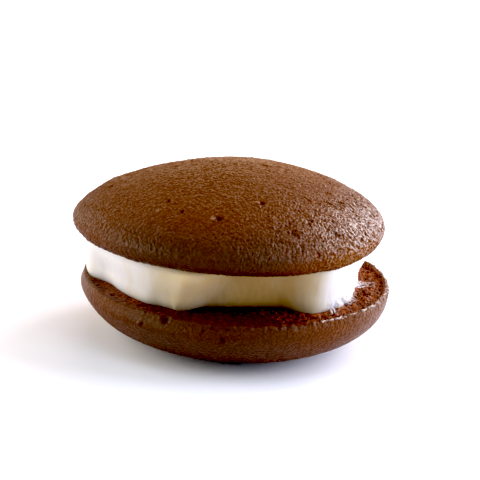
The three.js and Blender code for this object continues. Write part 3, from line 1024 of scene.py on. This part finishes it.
# %% Sheen
SHEEN_LEAST = 0.22
SHEEN_FACING = math.radians(-20)
SHEEN_SPREAD = math.radians(41)
SHEEN_SHARES = (0.5, 0.76)
RIM_SHARES = (0.78, 0.9)
RIM_FADE = 0.3
RIM_FADE_BESIDE = 0.6
BESIDE_ANGLES = (math.radians(20), math.radians(45))
RIM_CALM = 0.65
RIM_CALM_SHARES = (0.84, 0.93)
RIM_CALM_FRONT = (0.15, 0.5)
PAINTED_SHADE_DULL = 0.6
WALL_SHEEN_LEAST = 0.08
WALL_SHEEN_MORE = 0.25
WALL_SHEEN_FACING = math.radians(-5)
WALL_SHEEN_SPREAD = math.radians(34)

dried_flank = towards(top_angle, SHEEN_FACING, SHEEN_SPREAD) * smooth_step(top_share, *SHEEN_SHARES)
beside = smooth_step(away_from(top_angle, 0.0), *BESIDE_ANGLES)
dried_flank *= 1 - (RIM_FADE + RIM_FADE_BESIDE * beside) * smooth_step(top_share, *RIM_SHARES)
calm = smooth_step(top_share, *RIM_CALM_SHARES) * smooth_step(-np.sin(top_angle), *RIM_CALM_FRONT)
top_sheen = np.full(len(top_points), SHEEN_LEAST)
top_sheen[on_dome] += (1 - SHEEN_LEAST) * dried_flank
top_sheen[on_dome] *= 1 - RIM_CALM * calm
store(top_cake, "sheen", top_sheen * (1 - PAINTED_SHADE_DULL * np.clip(top_painted_shade_and_bounce, 0.0, 1.0)))
wall_sheen = towards(bottom_facing, WALL_SHEEN_FACING, WALL_SHEEN_SPREAD)
store(bottom_cake, "sheen", WALL_SHEEN_LEAST + WALL_SHEEN_MORE * wall_sheen)

# %% [markdown]
# ## Haze
# Between its glints the skin still throws back a little light, as a thin film of fat does. The third number
# is that haze. It is stronger in front, at the back and at the two ends of the wall, and weaker low on the
# front of the wall.

# %% Haze
HAZE = 0.035
HAZE_FRONT = 0.15
HAZE_RIGHT = 0.12
HAZE_BACK = 0.16
HAZE_LEFT = 0.07
BACK_EDGE = (0.1, 0.6)
BACK_SHARES = (0.5, 0.7)
WALL_LEVELS = (5 * MM, 11 * MM)
LEFT_END_FACING = math.radians(-172)
LEFT_END_SPREAD = math.radians(22)
LEFT_END_LEVELS = (8 * MM, 13 * MM)

top_haze = HAZE + HAZE_FRONT * top_painted_shade_and_bounce
top_back = HAZE_BACK * smooth_step(np.sin(top_angle), *BACK_EDGE)
top_haze[on_dome] += top_back * smooth_step(top_share, *BACK_SHARES)
store(top_cake, "haze", top_haze)
bottom_haze = (HAZE + HAZE_FRONT * bottom_painted_shade) * smooth_step(bottom_level, *WALL_LEVELS)
bottom_haze += HAZE_RIGHT * wall_sheen + HAZE_BACK * smooth_step(np.sin(bottom_facing), *BACK_EDGE)
left_end = HAZE_LEFT * towards(bottom_facing, LEFT_END_FACING, LEFT_END_SPREAD)
bottom_haze += left_end * smooth_step(bottom_level, *LEFT_END_LEVELS)
store(bottom_cake, "haze", bottom_haze)

# %% [markdown]
# ## Hollow shade, flecks, cream shade and thinness
# The cakes store their cracks and pits below zero, for painted shade in these hollows, and their flecks above
# zero; two of the flecks are painted highlights on the walls of pits. At the flat front, where the cream
# faces the dim room under the top cake, it is painted tan as painted shade with a warm cast: this shade rises
# between two facings on the left and falls between two on the right. The smears store how far along its
# strand each point lies, since the cream thins out on the way.

# %% Hollow shade, flecks, cream shade and thinness
CREAM_SHADE_LEFT = (-150, -84)
CREAM_SHADE_RIGHT = (-64, -41)

# Cracks join the pits below zero, as painted shade in these hollows.
top_shade_and_flecks[on_dome] -= top_cracks
store(top_cake, "hollow_shade_and_fleck", np.clip(top_shade_and_flecks, -1.0, 1.0))
store(bottom_cake, "hollow_shade_and_fleck", bottom_shade_and_flecks)
# Painted shade: the cream's flat front, facing the dim room, is tinted towards tan.
front_shaded = smooth_step(cream_facing, *CREAM_SHADE_LEFT) * (1 - smooth_step(cream_facing, *CREAM_SHADE_RIGHT))
cream_shade_values = np.zeros(len(cream_points))
cream_shade_values[on_cream_wall] = front_shaded.ravel()
store(cream, "painted_cream_shade", cream_shade_values)
along_strand = np.repeat(np.linspace(0.0, 1.0, STRAND_STEPS), STRAND_SIDES)
store(smears, "thinness", np.tile(along_strand, len(strand_paths)))

# %% [markdown]
# ## Helpers for finishes
# Every finish here is one Principled shader fed by a few nodes, and the same moves come back: noise in the
# object's own space, so that the pattern stays with the piece, a stored number added or multiplied in, a
# ramp that turns a number into a colour, and a bump for grain too fine for the mesh.

# %% Node helpers
def new_material(name):
    """A material with a Principled shader, and short ways to its nodes and links."""
    material = bpy.data.materials.new(name)
    material.use_nodes = True
    shader = material.node_tree.nodes["Principled BSDF"]
    return material, material.node_tree.nodes, material.node_tree.links, shader


def object_noise(nodes, links, size, detail, stretch=(1.0, 1.0, 1.0)):
    """The value of a noise texture in the object's own space, with spots of about this size."""
    place = nodes.new("ShaderNodeTexCoord")
    mapping = nodes.new("ShaderNodeMapping")
    mapping.inputs["Scale"].default_value = stretch
    texture = nodes.new("ShaderNodeTexNoise")
    texture.inputs["Scale"].default_value = 1.0 / size
    texture.inputs["Detail"].default_value = detail
    links.new(place.outputs["Object"], mapping.inputs["Vector"])
    links.new(mapping.outputs["Vector"], texture.inputs["Vector"])
    return texture.outputs["Fac"]


def stored(nodes, name):
    """The number that the mesh stores under a name."""
    attribute = nodes.new("ShaderNodeAttribute")
    attribute.attribute_name = name
    return attribute.outputs["Fac"]


def with_stored(nodes, links, value, name, strength):
    """A value plus a stored number times a strength."""
    total = nodes.new("ShaderNodeMath")
    total.operation = "MULTIPLY_ADD"
    total.inputs[1].default_value = strength
    links.new(stored(nodes, name), total.inputs[0])
    links.new(value, total.inputs[2])
    return total.outputs["Value"]


def times_stored(nodes, links, value, name):
    """A value times a stored number."""
    product = nodes.new("ShaderNodeMath")
    product.operation = "MULTIPLY"
    links.new(stored(nodes, name), product.inputs[0])
    links.new(value, product.inputs[1])
    return product.outputs["Value"]


def ramp(nodes, links, value, stops):
    """A colour for a value: stops are (position, colour)."""
    node = nodes.new("ShaderNodeValToRGB")
    while len(node.color_ramp.elements) < len(stops):
        node.color_ramp.elements.new(0.5)
    for element, (position, colour) in zip(node.color_ramp.elements, stops):
        element.position = position
        element.color = (*colour, 1.0)
    links.new(value, node.inputs["Fac"])
    return node.outputs["Color"]


def bump(nodes, links, value, height, shader):
    """Let a value roughen the shader's normal by this height."""
    node = nodes.new("ShaderNodeBump")
    node.inputs["Strength"].default_value = 1.0
    node.inputs["Distance"].default_value = height
    links.new(value, node.inputs["Height"])
    links.new(node.outputs["Normal"], shader.inputs["Normal"])


def grey(value):
    """A grey as a colour."""
    return (value, value, value)


print("helpers for noise, stored numbers, ramps and bumps are ready")

# %% [markdown]
# ## Finish of the baked skin
# The skin is a mid chocolate brown with pores half a millimetre wide. One ramp turns a number into its
# colour: the pores mottle it, the stored marks push it to the dark end in cracks and pits, as painted shade,
# and to the light end at flecks, two of which are painted highlights. The stored front shade darkens it in
# front as painted shade and lightens the rim beside it as painted bounce light. The plateaus between the
# pores glint by the stored sheen, the haze adds the weak light between them, and noise varies how sharp the
# glints are. The pores roughen the normal too, finer than the mesh can hold.

# %% Skin material
SKIN_PAINTED_SHADE = (0.046, 0.0180, 0.0042)
SKIN_DARK = (0.083, 0.0250, 0.0055)
SKIN_LIGHT = (0.107, 0.0342, 0.0074)
SKIN_FLECK_AND_HIGHLIGHT = (0.24, 0.12, 0.055)
PORE_WIDTH = 0.55 * MM
PORE_SQUEEZE = (1.0, 0.65, 1.0)
PORE_DEPTH = 0.35 * MM
SHINE_WIDTH = 1.2 * MM

skin, nodes, links, shader = new_material("baked_skin")
pores = object_noise(nodes, links, PORE_WIDTH, 2.0, PORE_SQUEEZE)
mottle = ramp(nodes, links, pores, [(0.3, grey(0.3)), (0.7, grey(0.7))])
tone = with_stored(nodes, links, with_stored(nodes, links, mottle, "hollow_shade_and_fleck", 0.5), "painted_shade_and_bounce", -0.46)
# The darkest stop is reached only through painted shade; the lightest at flecks, painted highlights and the
# painted bounce on the rim.
stops = [(0.0, SKIN_PAINTED_SHADE), (0.3, SKIN_DARK), (0.6, SKIN_LIGHT), (1.0, SKIN_FLECK_AND_HIGHLIGHT)]
links.new(ramp(nodes, links, tone, stops), shader.inputs["Base Color"])
shine = object_noise(nodes, links, SHINE_WIDTH, 3.0)
links.new(ramp(nodes, links, shine, [(0.3, grey(0.30)), (0.7, grey(0.48))]), shader.inputs["Roughness"])
plateaus = ramp(nodes, links, pores, [(0.45, grey(0.0)), (0.6, grey(0.68))])
glints = times_stored(nodes, links, plateaus, "sheen")
gloss = with_stored(nodes, links, with_stored(nodes, links, glints, "haze", 1.0), "hollow_shade_and_fleck", 0.2)
links.new(gloss, shader.inputs["Specular IOR Level"])
bump(nodes, links, pores, PORE_DEPTH, shader)
top_cake.data.materials.append(skin)
print("skin material has", len(nodes), "nodes")

# %% [markdown]
# ## Finish of the torn crumb
# Torn crumb is a redder brown than the skin, with light flecks and only a faint sheen. It takes some of
# the painted front shade, so it is a little darker in front and on the left.

# %% Crumb material
CRUMB_DARK = (0.048, 0.0115, 0.003)
CRUMB_LIGHT = (0.30, 0.084, 0.024)
CRUMB_SPOT_WIDTH = 1.1 * MM
CRUMB_HOLE_WIDTH = 0.5 * MM
CRUMB_HOLE_DEPTH = 0.3 * MM

crumb, nodes, links, shader = new_material("torn_crumb")
# The crumb is darkened by the same painted front shade.
tone = with_stored(nodes, links, object_noise(nodes, links, CRUMB_SPOT_WIDTH, 4.0), "painted_shade_and_bounce", -0.25)
stops = [(0.34, CRUMB_DARK), (0.66, CRUMB_LIGHT)]
links.new(ramp(nodes, links, tone, stops), shader.inputs["Base Color"])
shader.inputs["Roughness"].default_value = 0.35
shader.inputs["Specular IOR Level"].default_value = 0.12
bump(nodes, links, object_noise(nodes, links, CRUMB_HOLE_WIDTH, 2.0), CRUMB_HOLE_DEPTH, shader)
loose_crumbs.data.materials.append(crumb)
print("crumb material has", len(nodes), "nodes")

# %% [markdown]
# ## Skin and crumb on one cake
# The bottom cake has both finishes, and each face of its mesh takes one of them. The tear ends in an uneven
# line at the lip, so soft noise makes the line between the two waver.

# %% Skin and crumb
TEAR_WAVER = 0.35 * MM
TEAR_WAVER_WIDTH = 2.5 * MM

centres = np.empty(len(bottom_cake.data.polygons) * 3)
bottom_cake.data.polygons.foreach_get("center", centres)
centres = centres.reshape(-1, 3) - np.array(BOTTOM_CENTRE)
waver = bumps(centres, TEAR_WAVER_WIDTH, seed=61.0)
tear_end = face_edge - SHOULDER_ROUND * lip_softness(np.arctan2(centres[:, 1], centres[:, 0]))
within = np.hypot(centres[:, 0], centres[:, 1]) < tear_end + TEAR_WAVER * (1 + waver)
torn = (np.arange(len(centres)) >= len(bottom_squares)) & within
for finish in (skin, crumb):
    bottom_cake.data.materials.append(finish)
bottom_cake.data.polygons.foreach_set("material_index", torn.astype(np.int32))
print("crumb covers", int(torn.sum()), "faces")

# %% [markdown]
# ## Finish of the flakes
# The flakes are thin dried skin, and shiny. Their pale tone is partly a painted highlight, standing for the
# glints along the torn lip. Noise makes them uneven in tone from one end to the other, so that no two look
# alike.

# %% Flake material
FLAKE_BROWN = (0.16, 0.075, 0.045)
FLAKE_PALE_HIGHLIGHT = (0.46, 0.37, 0.34)
FLAKE_SPOT_WIDTH = 1.0 * MM

dried_skin, nodes, links, shader = new_material("dried_flakes")
tone = object_noise(nodes, links, FLAKE_SPOT_WIDTH, 2.0)
# The pale end of this ramp is partly a painted highlight.
links.new(ramp(nodes, links, tone, [(0.4, FLAKE_BROWN), (0.6, FLAKE_PALE_HIGHLIGHT)]), shader.inputs["Base Color"])
shader.inputs["Roughness"].default_value = 0.4
lip_flakes.data.materials.append(dried_skin)
print("flake material has", len(nodes), "nodes")

# %% [markdown]
# ## Finish of the cream
# Whipped cream is white and lets light in a little way, so a Principled shader with subsurface scattering
# gives it its softness. Towards the flat front the stored painted shade turns it from white over ivory to
# tan, and soft clouds make the tone a little uneven.

# %% Cream material
CREAM_WHITE = (0.60, 0.59, 0.625)
CREAM_IVORY_HALF_SHADE = (0.51, 0.43, 0.30)
CREAM_TAN_SHADE = (0.51, 0.34, 0.137)
CLOUD_WIDTH = 5 * MM
CLOUD_SQUEEZE = (1.0, 1.0, 0.5)
WHISK_WIDTH = 1.2 * MM
WHISK_SQUEEZE = (1.0, 1.0, 0.4)
WHISK_DEPTH = 0.04 * MM

whipped, nodes, links, shader = new_material("whipped_cream")
cloud = object_noise(nodes, links, CLOUD_WIDTH, 3.0, CLOUD_SQUEEZE)
faint = ramp(nodes, links, cloud, [(0.3, grey(0.0)), (0.7, grey(0.2))])
tone = with_stored(nodes, links, faint, "painted_cream_shade", 0.8)
# Ivory and tan are reached mostly through the stored painted shade.
stops = [(0.1, CREAM_WHITE), (0.5, CREAM_IVORY_HALF_SHADE), (0.9, CREAM_TAN_SHADE)]
links.new(ramp(nodes, links, tone, stops), shader.inputs["Base Color"])
shader.inputs["Roughness"].default_value = 0.5
shader.inputs["Specular IOR Level"].default_value = 0.3
shader.inputs["Subsurface Weight"].default_value = 0.8
shader.inputs["Subsurface Radius"].default_value = (1.0, 0.8, 0.5)
shader.inputs["Subsurface Scale"].default_value = 3.5 * MM
bump(nodes, links, object_noise(nodes, links, WHISK_WIDTH, 2.0, WHISK_SQUEEZE), WHISK_DEPTH, shader)
cream.data.materials.append(whipped)
print("cream material has", len(nodes), "nodes")

# %% [markdown]
# ## Finish of the smears
# The strands start as white as the cream and thin out until the brown crumb shines through, so the number
# stored along each strand turns them pinkish brown, a little unevenly. A see-through shader could do the
# same, but a plain colour is quicker and keeps its look from every side.

# %% Smear material
SMEAR_THIN = (0.36, 0.22, 0.165)
SMEAR_SPOT_WIDTH = 0.8 * MM

thin_cream, nodes, links, shader = new_material("thin_cream")
cloud = object_noise(nodes, links, SMEAR_SPOT_WIDTH, 2.0)
faint = ramp(nodes, links, cloud, [(0.3, grey(0.0)), (0.7, grey(0.4))])
tone = with_stored(nodes, links, faint, "thinness", 0.8)
links.new(ramp(nodes, links, tone, [(0.35, CREAM_WHITE), (0.95, SMEAR_THIN)]), shader.inputs["Base Color"])
shader.inputs["Roughness"].default_value = 0.5
shader.inputs["Specular IOR Level"].default_value = 0.3
smears.data.materials.append(thin_cream)
print("smear material has", len(nodes), "nodes")

# %% [markdown]
# ## Joining the frame
# Each mesh rides on the pie's one body. The three large ones stand for their plain solids, which are hidden.

# %% Ride and replace
for piece, node, slot in (
    (top_cake, "top_cake", "cake"),
    (bottom_cake, "bottom_cake", "cake"),
    (cream, "cream_filling", "cream"),
):
    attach(piece, "root")
    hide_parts(node)
    print(piece.name, "stands for", node)
for piece, slot in ((smears, "cream"), (loose_crumbs, "cake"), (lip_flakes, "cake")):
    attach(piece, "root")
    print(piece.name, "lies on the pie and stands for no solid")

# %% [markdown]
# ## Table
# The pie stands on a plain table of a cool white. One square is enough for it, so wide that no edge shows.

# %% Floor
FLOOR_HALF = 2.0
TABLE_DARKER = (0.81, 0.82, 0.91)
TABLE_LIGHTER = (0.83, 0.84, 0.93)
TABLE_SPOT_WIDTH = 40 * MM

corners = np.array([[-1, -1, 0], [1, -1, 0], [1, 1, 0], [-1, 1, 0]]) * FLOOR_HALF
floor = mesh_piece("table", corners, np.array([[0, 1, 2, 3]]))
table_white, nodes, links, shader = new_material("white_table")
spots = object_noise(nodes, links, TABLE_SPOT_WIDTH, 2.0)
links.new(ramp(nodes, links, spots, [(0.3, TABLE_DARKER), (0.7, TABLE_LIGHTER)]), shader.inputs["Base Color"])
shader.inputs["Roughness"].default_value = 0.7
shader.inputs["Specular IOR Level"].default_value = 0.2
floor.data.materials.append(table_white)
print("the table is", 2 * FLOOR_HALF, "m wide")

# %% [markdown]
# ## Light
# Soft daylight comes from the right and from behind on the right, and a pale card on the left gives some of
# it back. The viewer's side has only weak light from the room. Each soft box stands on a dome round the pie,
# so a direction, a height above the table in degrees and a power in watts for red, green and blue are all it
# needs.

# %% Lights
PIE_MIDDLE = Vector((0.0, 0.0, 20 * MM))
BOX_DISTANCE = 0.8
BOX_SIZE = 0.4
SOFT_BOXES = (
    ("window_low", 0, 12, (5.6, 5.85, 6.9)),
    ("window_high", 0, 40, (2.9, 2.8, 2.85)),
    ("window_back", 45, 18, (6.4, 6.4, 6.9)),
    ("sky_back", 45, 50, (2.5, 2.1, 1.8)),
    ("back_low", 90, 18, (1.45, 1.0, 0.65)),
    ("back_high", 90, 50, (1.1, 0.8, 0.7)),
    ("back_left", 135, 18, (2.1, 2.05, 1.8)),
    ("card_back", 160, 12, (0.8, 0.7, 0.6)),
    ("card_left", 180, 12, (4.7, 4.4, 3.85)),
    ("card_high", 180, 40, (1.4, 1.3, 1.15)),
    ("room_left", -135, 30, (1.6, 1.65, 1.4)),
    ("room_right", -45, 30, (2.6, 2.65, 2.7)),
    ("room_high", -90, 60, (0.6, 0.8, 1.0)),
)


def soft_box(name, facing, height, watts):
    """A square area light on the dome round the pie, facing the pie."""
    lamp = bpy.data.lights.new(name, "AREA")
    lamp.size = BOX_SIZE
    lamp.energy = max(watts)
    lamp.color = [channel / max(watts) for channel in watts]
    turn, rise = math.radians(facing), math.radians(height)
    out = Vector((math.cos(turn) * math.cos(rise), math.sin(turn) * math.cos(rise), math.sin(rise)))
    holder = in_scene(name, lamp)
    holder.location = PIE_MIDDLE + out * BOX_DISTANCE
    holder.rotation_euler = (-out).to_track_quat("-Z", "Y").to_euler()


for box in SOFT_BOXES:
    soft_box(*box)
print(len(SOFT_BOXES), "soft boxes give", round(sum(max(box[3]) for box in SOFT_BOXES), 1), "W")

# %% [markdown]
# ## Room and exposure
# The room itself adds a weak bluish light. The picture is developed plainly, with its darkest tones pulled
# down a little, as a print with firm blacks has them.

# %% Room and exposure
ROOM_LIGHT = (0.98, 0.99, 1.0, 1.0)
ROOM_STRENGTH = 0.05
BLACK_LEVEL = 0.034

room = bpy.data.worlds.new("room")
room.use_nodes = True
background = room.node_tree.nodes["Background"]
background.inputs["Color"].default_value = ROOM_LIGHT
background.inputs["Strength"].default_value = ROOM_STRENGTH
bpy.context.scene.world = room
view = bpy.context.scene.view_settings
view.view_transform = "Standard"
view.use_curve_mapping = True
view.curve_mapping.black_level = grey(BLACK_LEVEL)
view.curve_mapping.update()
print("tones below", BLACK_LEVEL, "come out black")

# %% [markdown]
# ## Camera
# The camera looks down 18 degrees with a long lens, which keeps the pie's far side nearly as large as its
# near side. It is turned a little, so that the table seems to fall to the right, and it aims a little above
# the pie's middle, so that the pie sits low in the picture.

# %% Camera
CAMERA_ELEVATION = math.radians(18.0)
CAMERA_ROLL = math.radians(3.4)
CAMERA_DISTANCE = 511.8 * MM
PICTURE_WIDTH = 121.9 * MM
SENSOR_WIDTH = 36.0
FOCUS = Vector((1.05 * MM, -0.8 * MM, 16.0 * MM))
FOCUS_OFFSET = Vector((1.28 * MM, 8.66 * MM))

forward = Vector((0.0, math.cos(CAMERA_ELEVATION), -math.sin(CAMERA_ELEVATION)))
level_right = Vector((1.0, 0.0, 0.0))
level_up = level_right.cross(forward)
right = level_right * math.cos(CAMERA_ROLL) + level_up * math.sin(CAMERA_ROLL)
up = right.cross(forward)
camera = in_scene("camera", bpy.data.cameras.new("camera"))
camera.location = FOCUS - forward * CAMERA_DISTANCE
aim = (FOCUS + right * FOCUS_OFFSET.x + up * FOCUS_OFFSET.y - camera.location).normalized()
across = aim.cross(up).normalized()
camera.rotation_euler = Matrix((across, across.cross(aim), -aim)).transposed().to_euler()
camera.data.sensor_width = SENSOR_WIDTH
camera.data.lens = SENSOR_WIDTH * CAMERA_DISTANCE / PICTURE_WIDTH
bpy.context.scene.camera = camera
print("the lens is", round(camera.data.lens, 1), "mm")
